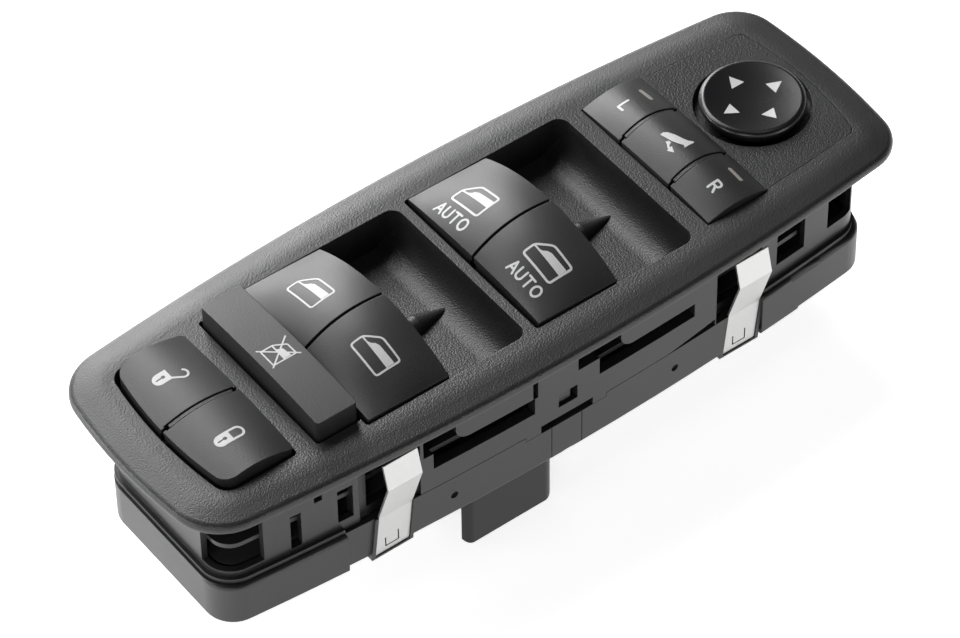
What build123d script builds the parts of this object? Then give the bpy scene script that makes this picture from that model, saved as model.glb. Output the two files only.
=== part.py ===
from build123d import *
import os
from math import radians, sin, sqrt

# Driver's door switch panel: a face panel with finger wells, keys under it, a body and a base tray.
# Millimetres. X runs along the panel from the door lock keys to the mirror pad, Z points out of the
# face, and -Y is the side of the body seen in front. The origin is the middle of the face panel's
# outline, at the level of its lip's underside, which is the plane that lies on the door trim.

# Face panel
panel_half_length = 114.4
panel_half_width = 40.5
panel_edge_bow = 932.0
panel_left_sag = 3.5
panel_right_sag = 2.7
panel_left_corner = 15.0
panel_right_corner = 12.5
panel_top = 4.0
rim_width = 7.0
rim_drop = 1.3
rim_crown = 20.0
panel_roll = 1.8
panel_under_round = 0.8
panel_skin = 1.6
bay_depth = 5.0

# Running gaps
key_gap = 0.7
side_gap = 0.35
stop_gap = 0.3
shaft_gap = 0.05
seam = 0.12

# Door lock keys
lock_left = -102.5
lock_right = -78.2
lock_half = 25.2
lock_gap = 1.1
lock_left_sag = 2.4
lock_corner = 4.5
lock_right_corner = 1.2
lock_travel = 1.2
lock_stations = (0.0, 0.25, 0.5, 0.75, 1.0)
lock_crest = (5.0, 7.1, 8.0, 7.5, 6.0)
lock_side = (4.5, 6.6, 7.5, 6.6, 4.4)
lock_leg_y = 11.0
cap_skirt = -3.0

# Window lockout bar
bar_left = -72.0
bar_right = -59.8
bar_half = 25.1
bar_top = 11.2
bar_end_top = 10.3
bar_corner = 0.8
bar_travel = 2.5
bar_guide_y = 16.0
bar_guide_radius = 2.0
spring_coil = 3.2
spring_wire = 0.7
wire_sides = 8
spring_turns = 5
spring_end_gap = 0.05

# Window keys and their wells
well_half = 28.3
well_side_gap = 0.7
key_length = 25.1
key_half = well_half - well_side_gap
key_left = {"rear": -58.4, "front": -4.9}
well_right = {"rear": -8.8, "front": 45.65}
well_left = {"rear": -59.3, "front": -6.05}
well_corner = 3.5
well_left_corner = 0.8
well_depth = 11.8
well_curve = 8.8
key_stations = (0.0, 0.33, 0.68, 1.0)
key_crest = (6.2, 10.5, 11.9, 11.2)
key_side = (4.7, 4.7, 4.5, 4.3)
key_skin = 2.0
key_wall = 1.6
key_split = 0.9
key_skirt = -1.5
key_angle = 5.5
hinge_in = 8.9
hinge_z = -2.5
hinge_radius = 1.25
hinge_ear = 2.6
web_half = 0.9
leg_reach = 6.5
leg_y = 14.0
tub_wall = 1.5
tub_in = 21.7
tub_lip = 3.2
ridge_radius = 3.3
ridge_in = 34.9
ridge_taper = 11.0
ridge_tip = 0.3

# Mirror keys
mirror_left = 50.9
mirror_right = 71.0
mirror_half = 26.6
mirror_split = 10.2
mirror_travel = 1.0
mirror_stations = (0.0, 0.25, 0.5, 0.75, 1.0)
mirror_crest = (5.3, 7.9, 8.8, 7.7, 4.9)
mirror_side = (4.2, 5.5, 6.1, 5.7, 4.3)
divider = 1.0
divider_end = 2.0
divider_drop = 0.3
lug_depth = 1.3
lens_width = 1.1
lens_length = 5.4
lens_bottom = 3.6
lens_x = 66.4
lens_y = 18.6

# Mirror pad and the plate round it
plate_right = 102.7
plate_sag = 2.8
plate_half_left = 26.0
plate_half_right = 23.6
plate_thick = 2.0
plate_ledge = 2.4
plate_corner = 2.5
pad_x = 88.0
pad_y = 0.6
pad_radius = 14.3
pad_rim = 7.0
pad_dish = 1.1
pad_edge = 1.5
pad_band = 0.2
pad_undercut = 1.1
pad_wall = 1.6
pad_angle = 4.0
cup_radius = 15.8
cup_floor = 1.4
cup_wall = 1.4
gimbal_z = -3.0
gimbal_pin = 1.0
gimbal_arm = 6.2
gimbal_hub = 2.0
gimbal_hub_height = 2.8
ear_thick = 1.6
ear_half = 2.0
pad_leg_in = 4.6
pad_leg_radius = 1.2
pad_bay = 10.5

# Upper body, as wide as the finger wells with some room at each side
body_clear = 6.7
mid_proud = 1.1
body_left = -106.4
body_right = 100.0
body_half = well_half + tub_wall + body_clear
body_mid_half = body_half + mid_proud
body_bow = 932.0
body_mid = (-49.2, 48.6)
body_wall = 1.8
body_corner = 8.0
body_top = 1.5
body_seat = -22.1
body_skirt = -25.0
block_right = -76.5
block_far = 20.3
ledge_out = 1.2
ledge_height = 1.3
shelf_thick = 1.5
deck_top = -11.0
deck_thick = 1.5

# Openings through the body's long walls: left, right, bottom and top of each
wall_cuts = (
    (-86.5, -83.4, -19.8, -7.8),
    (-79.5, -77.2, -6.8, -4.9),
    (-72.9, -65.0, -18.4, -6.8),
    (-48.9, -38.3, -9.2, -1.5),
    (-45.2, -13.8, -14.8, -9.0),
    (-14.4, -12.8, -9.1, -1.5),
    (-6.3, -0.25, -17.5, -12.7),
    (0.0, 6.9, -7.6, -1.5),
    (6.9, 13.9, -9.0, -1.5),
    (6.9, 38.7, -13.7, -9.0),
    (68.4, 78.4, -16.1, -2.2),
    (86.9, 96.2, -15.4, -3.6),
)
corner_cut_right = -94.2
corner_cut_far = -22.0
corner_cut_z = (-19.0, -4.4)
strip_ends = (-38.3, 13.9)
strip_low = -9.0
strip_round = 4.2
nub = (-7.0, -1.9, -16.8, -13.3)
nub_back = 0.9

# Parting between the body and the tray: a tab of the body that dips into the tray's rim, a slot in
# it, and a gap that opens towards the right clip
tab_x = (-16.6, 9.2)
tab_bottom = -23.6
slot_x = (-11.9, 4.8)
slot_top = -21.0
wedge_x = (30.0, 46.0)
wedge_top = -19.9
wedge_depth = 1.2

# Base tray
tray_rim = -22.3
tray_left = -108.2
tray_right = 100.8
tray_ends = (-71.8, 61.8)
end_proud = 1.4
tray_bottom = -36.0
tray_wall = 1.8
tray_corner = 8.5
tray_edge = 1.0
tray_bead = 1.2
raised_x = 75.0
raised_bottom = -34.6
dot_x = (-39.1, 32.3)
dot_z = -28.9
dot_radius = 1.1
dot_depth = 0.8
groove_x = (-8.5, 1.2)
groove_width = 0.25
groove_depth = 0.3
post_radius = 2.0
posts = (
    (-98, -26), (-98, 8), (-40, 28), (-44, -14), (24, -27), (24, 27), (88, -26), (88, 26),
)

# Circuit board, contact mat and connector
board_top = -20.0
board_thick = 1.6
mat_base = 0.8
dome_height = 3.0
dome_radius = 2.2
dome_tip = 1.5
dome_sides = 8
mat_inset = 0.6
leg_size = 2.6
connector_x = (-35.3, -6.0)
connector_y = (-35.6, -20.2)
connector_bottom = -53.5
connector_wall = 1.8
connector_web = (-38.0, -33.0)
connector_corner = 3.2
connector_foot_round = 3.0
connector_side_top = -40.0
pin_size = 0.64
pin_pitch = 2.5
pin_rows = 2
pins_in_row = 9
pin_row_step = 4.0
pin_tip = -47.0
chip_x = 44.0
chip_size = 12.0
chip_thick = 1.6

# Spring clips
clip_width = 10.6
clip_sheet = 0.6
clip_x = (-58.3, 54.6)
clip_foot = -36.4
clip_knee = -23.0
clip_crest = (2.9, -10.6)
clip_nose = (1.0, -3.4)
clip_lean = 2.8
clip_channel = 0.65
clip_side_gap = 0.1
clip_window = (-19.5, -2.0)
tab_slit = 0.4
tab_left = (-1.9, -31.4)
tab_right = (2.1, -30.8)
tab_low = -34.5
foot_ledge = 0.6
rail_width = 1.2
rail_proud = 0.3
recess_depth = 3.0
recess_widen = 3.0

# Level of the domes' tips, and a length past everything
dome_tip_z = board_top + mat_base + dome_height
far = 300.0


def block(x0, x1, y0, y1, z0, z1):
    """A box given by its two ends along each axis."""
    centre = Pos((x0 + x1) / 2, (y0 + y1) / 2, (z0 + z1) / 2)
    return centre * Box(abs(x1 - x0), abs(y1 - y0), abs(z1 - z0))


def bowed(half, bow, x):
    """Half width at x of an outline whose long edges are arcs."""
    return half - bow + sqrt(bow**2 - x**2)


def arc_outline(left, right, half, bow, left_sag, right_sag, left_corner, right_corner):
    """Plan with bowed long edges and bowed ends, its four corners rounded."""
    y_left = bowed(half, bow, left)
    y_right = bowed(half, bow, right)
    middle = (left + right) / 2
    y_middle = bowed(half, bow, middle)
    lines = [
        ThreePointArc((left, -y_left), (middle, -y_middle), (right, -y_right)),
        ThreePointArc((right, -y_right), (right + right_sag, 0), (right, y_right)),
        ThreePointArc((right, y_right), (middle, y_middle), (left, y_left)),
        ThreePointArc((left, y_left), (left - left_sag, 0), (left, -y_left)),
    ]
    face = make_face(lines)
    rights = face.vertices().filter_by(lambda v: v.X > middle)
    face = fillet(rights, right_corner)
    lefts = face.vertices().filter_by(lambda v: v.X < middle).sort_by(Axis.X)[0:2]
    return fillet(lefts, left_corner)


def prism(face, z0, z1):
    """A plan face carried from z0 up to z1."""
    return Pos(0, 0, z0) * extrude(face, z1 - z0)


def crown(left, right, half, stations, crest, side, bottom=-far):
    """Solid under a top that is arched both ways: one arc across it at each station along X."""
    sections = []
    for share, z_mid, z_side in zip(stations, crest, side):
        x = left + (right - left) * share
        arc = ThreePointArc((x, -half, z_side), (x, 0, z_mid), (x, half, z_side))
        rest = Polyline((x, half, z_side), (x, half, bottom), (x, -half, bottom), (x, -half, z_side))
        sections.append(make_face([arc, rest]))
    return loft(sections)


def panel_outline():
    """Outline of the face panel at its lip."""
    left = -panel_half_length + panel_left_sag
    right = panel_half_length - panel_right_sag
    return arc_outline(
        left, right, panel_half_width, panel_edge_bow,
        panel_left_sag, panel_right_sag, panel_left_corner, panel_right_corner,
    )


def lock_plan(gap):
    """Plan of the door lock key opening, or of the keys when a gap is taken off."""
    left = lock_left + lock_left_sag + gap
    right = lock_right - min(gap, side_gap)
    half = lock_half - gap
    lines = [
        Polyline((left, -half), (right, -half), (right, half), (left, half)),
        ThreePointArc((left, half), (left - lock_left_sag, 0), (left, -half)),
    ]
    face = make_face(lines)
    lefts = face.vertices().sort_by(Axis.X)[0:2]
    face = fillet(lefts, lock_corner)
    rights = face.vertices().sort_by(Axis.X)[-2:]
    return fillet(rights, lock_right_corner)


def well_plan(row):
    """Plan of the opening that a pair of window keys shares with its finger well."""
    left, right = well_left[row], well_right[row]
    face = Pos((left + right) / 2, 0) * Rectangle(right - left, 2 * well_half)
    rights = face.vertices().sort_by(Axis.X)[-2:]
    face = fillet(rights, well_corner)
    lefts = face.vertices().sort_by(Axis.X)[0:2]
    return fillet(lefts, well_left_corner)


def bar_plan(gap):
    """Plan of the lockout bar, or of its opening when a gap is added."""
    length = bar_right - bar_left + 2 * gap
    face = RectangleRounded(length, 2 * (bar_half + gap), bar_corner)
    return Pos((bar_left + bar_right) / 2, 0) * face


def mirror_plan():
    """Plan of the mirror key opening."""
    face = Rectangle(mirror_right - mirror_left, 2 * mirror_half)
    return Pos((mirror_left + mirror_right) / 2, 0) * face


def plate_plan(inset):
    """Plan of the plate round the mirror pad, brought in by an inset on its three outer sides."""
    left = mirror_right
    right = plate_right - inset
    near = plate_half_left - inset
    away = plate_half_right - inset
    lines = [
        Line((left, -near), (right, -away)),
        ThreePointArc((right, -away), (right + plate_sag, 0), (right, away)),
        Polyline((right, away), (left, near), (left, -near)),
    ]
    face = make_face(lines)
    rights = face.vertices().sort_by(Axis.X)[-2:]
    return fillet(rights, plate_corner)


def body_plan(inset, mid=body_half, left=body_left, right=body_right, corner=body_corner):
    """Plan of the upper body: narrower on the far side at its left end."""
    half = mid - inset
    x0 = left + inset
    x1 = right - inset
    step = block_right + inset
    away = block_far - inset
    radius = corner - inset
    near = ThreePointArc(
        (x0, -bowed(half, body_bow, x0)), (0, -half), (x1, -bowed(half, body_bow, x1))
    )
    back = ThreePointArc(
        (x1, bowed(half, body_bow, x1)),
        ((x1 + step) / 2, bowed(half, body_bow, (x1 + step) / 2)),
        (step, bowed(half, body_bow, step)),
    )
    lines = [
        near,
        Line((x1, -bowed(half, body_bow, x1)), (x1, bowed(half, body_bow, x1))),
        back,
        Polyline(
            (step, bowed(half, body_bow, step)), (step, away), (x0, away),
            (x0, -bowed(half, body_bow, x0)),
        ),
    ]
    face = make_face(lines)
    outer = face.vertices().filter_by(lambda v: abs(v.X - step) > 1 or v.Y > away + 1)
    return fillet(outer, radius)


def lock_crown(drop=0.0):
    """Solid under the arched top that both door lock keys share."""
    shape = crown(
        lock_left - 1, lock_right + 1, lock_half + 1, lock_stations, lock_crest, lock_side
    )
    return Pos(0, 0, -drop) * shape


def mirror_crown(drop=0.0):
    """Solid under the arched top that the three mirror keys share."""
    shape = crown(
        mirror_left, mirror_right, mirror_half, mirror_stations, mirror_crest, mirror_side
    )
    return Pos(0, 0, -drop) * shape


def key_crown(row, drop=0.0):
    """Solid under the arched top that a pair of window keys shares."""
    left = key_left[row]
    shape = crown(left, left + key_length, key_half, key_stations, key_crest, key_side)
    return Pos(0, 0, -drop) * shape


def cross_bar(x, y, z, radius, length):
    """Round bar along Y through a point, for a shaft or for its hole."""
    return Pos(x, y, z) * Rot(90, 0, 0) * Cylinder(radius, length)


def hinge_bar(row, radius, length):
    """Round bar on the axis that a pair of window keys turns on."""
    return cross_bar(key_left[row] + hinge_in, 0, hinge_z, radius, length)


def tub(row):
    """Outside of the moulded finger well beside a pair of window keys."""
    left = key_left[row] + tub_in - tub_wall
    half = well_half + tub_wall
    floor = panel_top - well_depth - tub_wall
    return block(left, well_right[row] + tub_wall, -half, half, floor, body_top)


def finger_room(row):
    """Hollow of a finger well: flat floor, then a quarter round up to the right wall."""
    left = key_left[row] + tub_in
    right = well_right[row]
    floor = panel_top - well_depth
    centre = (right - well_curve, floor + well_curve)
    reach = well_curve * sin(radians(45))
    lines = [
        Polyline((left, far), (left, floor), (centre[0], floor)),
        ThreePointArc(
            (centre[0], floor), (centre[0] + reach, centre[1] - reach), (right, centre[1])
        ),
        Polyline((right, centre[1]), (right, far), (left, far)),
    ]
    profile = Plane.XZ * make_face(lines)
    return extrude(profile, well_half, both=True) & prism(well_plan(row), floor, far)


def ridge(row):
    """Half round ridge on the floor of a finger well, tapered where the floor starts to rise."""
    start = key_left[row] + tub_in
    taper = key_left[row] + ridge_in
    tip = taper + ridge_taper
    floor = panel_top - well_depth
    shape = Pos((start + taper) / 2, 0, floor) * Rot(0, 90, 0) * Cylinder(ridge_radius, taper - start)
    cone = Cone(ridge_radius, ridge_tip, ridge_taper)
    shape += Pos((taper + tip) / 2, 0, floor) * Rot(0, 90, 0) * cone
    return shape & block(start, tip, -ridge_radius, ridge_radius, floor - tub_wall / 2, far)


def make_bezel():
    """Face panel with its finger wells, key bays, dividers and hinge supports."""
    shape = prism(panel_outline(), 0, panel_top)
    top = shape.faces().sort_by(Axis.Z)[-1]
    shape = chamfer(top.edges(), length=rim_width, length2=rim_drop, reference=top)
    brink = shape.edges().group_by(Axis.Z)[2]
    shape = fillet(brink, panel_roll)
    shape = fillet(shape.edges().group_by(Axis.Z)[-1], rim_crown)
    shape = fillet(shape.edges().group_by(Axis.Z)[0], panel_under_round)
    shape -= body_shell(-seam, -1, body_top)
    bays = [
        (lock_plan(0), -bay_depth),
        (bar_plan(key_gap), -bay_depth),
        (mirror_plan(), -bay_depth),
    ]
    for plan, bottom in bays:
        shape += prism(offset(plan, panel_skin, kind=Kind.INTERSECTION), bottom, body_top)
    half = well_half + panel_skin
    for row in key_left:
        reach = key_left[row] + tub_in
        shape += block(well_left[row] - panel_skin, reach, -half, half, -bay_depth, body_top)
        shape += tub(row)
    shape += prism(plate_plan(-panel_skin), 0, body_top)
    for row in key_left:
        reach = key_left[row] + tub_in
        plan = well_plan(row)
        shape -= finger_room(row)
        lip = panel_top - well_depth + tub_lip
        shape -= prism(plan, lip, far) & block(-far, reach, -far, far, -far, far)
        shape -= prism(plan, -far, far) & block(-far, reach - tub_wall, -far, far, -far, far)
        shape += ridge(row)
        shape += block(
            well_left[row] - panel_skin, reach - tub_wall, -web_half, web_half,
            -bay_depth, hinge_z + hinge_ear,
        )
    shape -= prism(bar_plan(key_gap), -far, far)
    shape -= prism(lock_plan(0), -far, far)
    shape -= prism(mirror_plan(), -far, far)
    shape -= prism(plate_plan(0), panel_top - plate_thick, far)
    shape -= disc(cup_radius + cup_wall + seam, -far, far)
    under = block(mirror_right + panel_skin, far, -far, far, -far, panel_top - plate_thick)
    shape -= under & prism(plate_plan(plate_ledge), -far, far)
    shape -= block(pad_x, far, -far, far, -far, panel_top) & prism(plate_plan(0), -far, far)
    shape += dividers()
    for row in key_left:
        shape -= hinge_bar(row, hinge_radius, far)
    return shape


def dividers():
    """Arched ribs between the lock keys and between the mirror keys, on bars across the bays."""
    half = divider / 2
    low = -bay_depth
    end = panel_skin / 2
    ribs = lock_crown(divider_drop) & block(
        lock_left + 1.6 * divider_end, lock_right - divider_end, -half, half, low, far
    )
    ribs += block(lock_left - end, lock_right + end, -half, half, low, body_top)
    for y in (-mirror_split, mirror_split):
        ribs += mirror_crown(divider_drop) & block(
            mirror_left + divider_end, mirror_right - divider_end, y - half, y + half, low, far
        )
        ribs += block(mirror_left - end, mirror_right + end, y - half, y + half, low, body_top)
    return ribs


def make_plate():
    """Plate round the mirror pad, with the ring that the pad stands in and two arms for the gimbal."""
    shape = prism(plate_plan(seam), panel_top - plate_thick, panel_top)
    shape += disc(cup_radius + cup_wall, cup_floor - cup_wall, panel_top)
    shape -= disc(cup_radius, -far, far)
    for side in (-1, 1):
        x = pad_x + side * gimbal_arm
        arm = block(
            x, pad_x + side * (cup_radius + cup_wall / 2), pad_y - ear_half, pad_y + ear_half,
            cup_floor - cup_wall, cup_floor,
        )
        arm += block(
            x - ear_thick / 2, x + ear_thick / 2, pad_y - ear_half, pad_y + ear_half,
            gimbal_z, cup_floor,
        )
        shape += arm + Pos(x, pad_y, gimbal_z) * Rot(0, 90, 0) * Cylinder(ear_half, ear_thick)
    length = 2 * gimbal_arm + 2 * ear_thick
    hole = Cylinder(gimbal_pin + shaft_gap, length)
    return shape - Pos(pad_x, pad_y, gimbal_z) * Rot(0, 90, 0) * hole


def disc(radius, z0, z1):
    """Round block on the mirror pad's axis."""
    column = Cylinder(radius, z1 - z0, align=(Align.CENTER, Align.CENTER, Align.MIN))
    return Pos(pad_x, pad_y, z0) * column


def pad_leg_places():
    """Places of the pad's four legs, between the gimbal's arms."""
    return [
        (pad_x + i * pad_leg_in, pad_y + j * pad_leg_in) for i in (-1, 1) for j in (-1, 1)
    ]


def pad_leg_foot():
    """Level of the feet of the pad's legs at rest."""
    reach = pad_leg_in + pad_leg_radius
    return dome_tip_z + stop_gap + 2 * reach * sin(radians(pad_angle))


def make_pad():
    """Round pad with a dished top, a narrower skirt, two ears for the gimbal and four legs."""
    skirt = cup_floor + stop_gap + 1.5 * pad_radius * sin(radians(pad_angle))
    inner = pad_radius - pad_edge
    turn = pad_edge * (1 - sin(radians(45)))
    middle = pad_rim - pad_dish
    sphere = (inner**2 + pad_dish**2) / (2 * pad_dish)
    half_way = middle + sphere - sqrt(sphere**2 - (inner / 2) ** 2)
    neck = pad_radius - pad_undercut
    brow = pad_rim - pad_edge - pad_band
    outline = [
        Polyline(
            (0, middle), (0, skirt), (neck, skirt), (neck, brow - pad_undercut),
            (pad_radius, brow), (pad_radius, pad_rim - pad_edge),
        ),
        ThreePointArc(
            (pad_radius, pad_rim - pad_edge), (pad_radius - turn, pad_rim - turn), (inner, pad_rim)
        ),
        ThreePointArc((inner, pad_rim), (inner / 2, half_way), (0, middle)),
    ]
    profile = Plane.XZ * make_face(outline)
    shape = Pos(pad_x, pad_y, 0) * revolve(profile, Axis.Z)
    under = middle - pad_wall
    shape -= disc(neck - pad_wall, skirt - 1, under)
    root = under + pad_wall / 3
    for side in (-1, 1):
        y = pad_y + side * gimbal_arm
        shape += block(
            pad_x - ear_half, pad_x + ear_half, y - ear_thick / 2, y + ear_thick / 2,
            gimbal_z, root,
        )
        shape += cross_bar(pad_x, y, gimbal_z, ear_half, ear_thick)
    length = 2 * gimbal_arm + 2 * ear_thick
    shape -= cross_bar(pad_x, pad_y, gimbal_z, gimbal_pin + shaft_gap, length)
    foot = pad_leg_foot()
    for x, y in pad_leg_places():
        shape += Pos(x, y, (foot + root) / 2) * Cylinder(pad_leg_radius, root - foot)
    return shape


def make_gimbal():
    """Cross that lets the pad tilt both ways."""
    length = 2 * gimbal_arm + ear_thick
    shape = Box(2 * gimbal_hub, 2 * gimbal_hub, gimbal_hub_height)
    shape += Rot(0, 90, 0) * Cylinder(gimbal_pin, length)
    shape += Rot(90, 0, 0) * Cylinder(gimbal_pin, length)
    return Pos(pad_x, pad_y, gimbal_z) * shape


def leg(x, y, top, foot):
    """Square leg that works a dome of the contact mat."""
    return block(x - leg_size / 2, x + leg_size / 2, y - leg_size / 2, y + leg_size / 2, foot, top)


def make_window_key(row, side):
    """Window key: an arched cap with side walls, two hinge ears and two legs."""
    left = key_left[row]
    right = left + key_length
    split = key_split / 2
    inner = web_half + side_gap
    shape = key_crown(row) & block(left, right, side * split, side * key_half, key_skirt, far)
    cavity = key_crown(row, key_skin)
    shape -= cavity & block(
        left + key_wall, right - key_wall, side * (inner + key_wall), side * (key_half - key_wall),
        -far, far,
    )
    shape -= cavity & block(left - 1, right + 1, 0, side * inner, -far, far)
    x = left + hinge_in
    for y in (inner + key_wall / 2, key_half - key_wall / 2):
        shape += cross_bar(x, side * y, hinge_z, hinge_ear, key_wall)
        shape += block(
            x - hinge_ear, x + hinge_ear, side * (y - key_wall / 2), side * (y + key_wall / 2),
            hinge_z, key_skirt + 1,
        )
    shape -= hinge_bar(row, hinge_radius + shaft_gap, far)
    foot = dome_tip_z + stop_gap + (leg_reach + leg_size / 2) * sin(radians(key_angle))
    for reach in (-leg_reach, leg_reach):
        shape += leg(x + reach, side * leg_y, far, foot) & key_crown(row, key_skin / 2)
    return shape


def make_hinge_pin(row):
    """Steel shaft that a pair of window keys turns on."""
    return hinge_bar(row, hinge_radius, 2 * (well_half + panel_skin))


def make_lock_key(side):
    """Door lock key: an arched cap with a skirt and one leg."""
    plan = lock_plan(lock_gap)
    inner = divider / 2 + side_gap
    shape = lock_crown() & prism(plan, cap_skirt, far)
    shape -= block(-far, far, -side * far, side * key_split / 2, -far, far)
    shape -= block(
        lock_left + divider_end, lock_right - 0.6 * divider_end, 0, side * inner, -far, far
    )
    shape -= lock_crown(lug_depth) & block(-far, far, 0, side * inner, -far, far)
    hollow = prism(offset(plan, -key_wall), -far, far) & lock_crown(key_skin)
    shape -= hollow & block(-far, far, side * (inner + key_wall), side * far, -far, far)
    foot = dome_tip_z + stop_gap + lock_travel
    x = (lock_left + lock_right) / 2
    shape += leg(x, side * lock_leg_y, far, foot) & lock_crown(key_skin / 2)
    return shape


def rib_slot(y, side):
    """Room in a mirror key for the rib beside it at y: the key lies on that side of the rib."""
    end = side * (divider / 2 + side_gap)
    width = 0.7 * divider_end
    room = block(mirror_left + width, mirror_right - width, y - side, y + end, -far, far)
    return room + (mirror_crown(lug_depth) & block(-far, far, y - side, y + end, -far, far))


def make_mirror_key(low_y, high_y):
    """Mirror key between two levels of Y, each the bay's end or the middle of a rib."""
    left = mirror_left + side_gap
    right = mirror_right - side_gap
    low_lug = key_split / 2 if low_y > -mirror_half else side_gap
    high_lug = key_split / 2 if high_y < mirror_half else side_gap
    shape = mirror_crown() & block(
        left, right, low_y + low_lug, high_y - high_lug, cap_skirt, far
    )
    if low_y > -mirror_half:
        shape -= rib_slot(low_y, 1)
    if high_y < mirror_half:
        shape -= rib_slot(high_y, -1)
    wall = divider / 2 + side_gap + key_wall
    shape -= mirror_crown(key_skin) & block(
        left + key_wall, right - key_wall, low_y + wall, high_y - wall, -far, far
    )
    foot = dome_tip_z + stop_gap + mirror_travel
    x = (mirror_left + mirror_right) / 2
    y = (low_y + high_y) / 2
    shape += leg(x, y, far, foot) & mirror_crown(key_skin / 2)
    return shape


def lens_slot(y):
    """Upright slot for the indicator of a mirror key."""
    face = SlotOverall(lens_length, lens_width)
    return prism(Pos(lens_x, y) * Rot(0, 0, 90) * face, lens_bottom, far)


def make_bar():
    """Window lockout bar: long push button with a slightly arched top and two guide stems."""
    plan = bar_plan(0)
    shape = prism(plan, cap_skirt, far) & crown(
        bar_left, bar_right, bar_half, (0, 1), (bar_top, bar_top), (bar_end_top, bar_end_top)
    )
    shape -= prism(offset(plan, -key_wall), cap_skirt - 1, bar_end_top - key_skin)
    x = (bar_left + bar_right) / 2
    foot = dome_tip_z + stop_gap + bar_travel
    root = bar_end_top - key_skin / 2
    for y in (-bar_guide_y, bar_guide_y):
        shape += Pos(x, y, (foot + root) / 2) * Cylinder(bar_guide_radius, root - foot)
    return shape


def make_bar_spring():
    """Coil spring that lifts the lockout bar, standing on the deck."""
    x = (bar_left + bar_right) / 2
    low = deck_top + spring_wire / 2 + spring_end_gap
    high = bar_end_top - key_skin - spring_wire / 2 - spring_end_gap
    height = high - low
    path = Helix(height / spring_turns, height, spring_coil)
    start = path @ 0
    wire = Plane(start, z_dir=path % 0) * RegularPolygon(spring_wire / 2, wire_sides)
    return Pos(x, 0, low) * sweep(wire, path)


def wall_y(x):
    """Half width of the upper body at x."""
    half = body_mid_half if body_mid[0] < x < body_mid[1] else body_half
    return bowed(half, body_bow, x)


def window_cuts(side):
    """Windows and slots through the near wall of the upper body, side -1, or the far one, side 1."""
    shape = Part()
    for x0, x1, z0, z1 in wall_cuts:
        if side < 0 or x0 > block_right:
            shape += block(x0, x1, 0, side * far, z0, z1)
    for x in strip_ends:
        high = strip_low + strip_round
        corner = block(x, x + strip_round, 0, side * far, strip_low, high)
        shape += corner - cross_bar(x + strip_round, 0, high, strip_round, 2 * far)
    if side < 0:
        z0, z1 = corner_cut_z
        shape += block(-far, corner_cut_right, -far, corner_cut_far, z0, z1)
    return shape - prism(body_plan(body_wall + stop_gap), body_skirt, panel_top)


def latch_nub(side):
    """Snap nub that stands in a wall's latch window, a little behind its face."""
    x0, x1, z0, z1 = nub
    y = wall_y(x0) - nub_back
    return block(x0, x1, side * (y - body_wall), side * y, z0, z1)


def parting_tab():
    """Tab of the near wall that dips into the tray's rim."""
    ring = prism(tray_plan(0), tab_bottom, body_seat) - prism(tray_plan(tray_wall), -far, far)
    return ring & block(tab_x[0], tab_x[1], -far, 0, -far, far)


def parting_gaps():
    """Slot in the near wall's tab, and the gap that opens towards the right clip."""
    x0, x1 = wedge_x
    face = make_face(Polyline((x0, body_seat), (x1, body_seat), (x1, wedge_top), (x0, body_seat)))
    wedge = extrude(Plane.XZ * face, far)
    wedge = wedge & block(x0, x1, -far, -wall_y(x1) + wedge_depth, -far, far)
    return wedge + block(
        slot_x[0], slot_x[1], -far, -wall_y(slot_x[0]) + body_wall, tab_bottom - 1, slot_top
    )


def clip_recess(side, x, depth, z0, z1, widen):
    """Upright recess in a long wall for a spring clip."""
    outer = -far if side < 0 else far
    y = bowed(body_mid_half, body_bow, x) - depth
    half = clip_width / 2 + widen
    return block(x - half, x + half, side * y, outer, z0, z1)


def clip_outline(x, gap):
    """Bar along Y with a clip's front view: it leans along X from its foot up to its crest."""
    half = clip_width / 2 + gap
    high = clip_crest[1]
    line = Polyline(
        (x - half, clip_foot), (x + half, clip_foot), (x + half + clip_lean, high),
        (x + half + clip_lean, panel_top), (x - half + clip_lean, panel_top),
        (x - half + clip_lean, high), (x - half, clip_foot),
    )
    return extrude(Plane.XZ * make_face(line), far, both=True)


def body_shell(inset, z0, z1):
    """Block with the body's outline: its middle stands a little proud of its ends."""
    shape = prism(body_plan(inset), z0, z1)
    middle = prism(body_plan(inset, body_mid_half), z0, z1)
    return shape + (middle & block(body_mid[0] + inset, body_mid[1] - inset, -far, far, -far, far))


def clip_back(side, x, gap):
    """Wall behind a clip's recess in the upper body, with a gap round it where something passes."""
    thick = body_wall + gap
    return clip_recess(side, x, recess_depth + thick, body_seat, body_top, recess_widen + thick)


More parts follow.
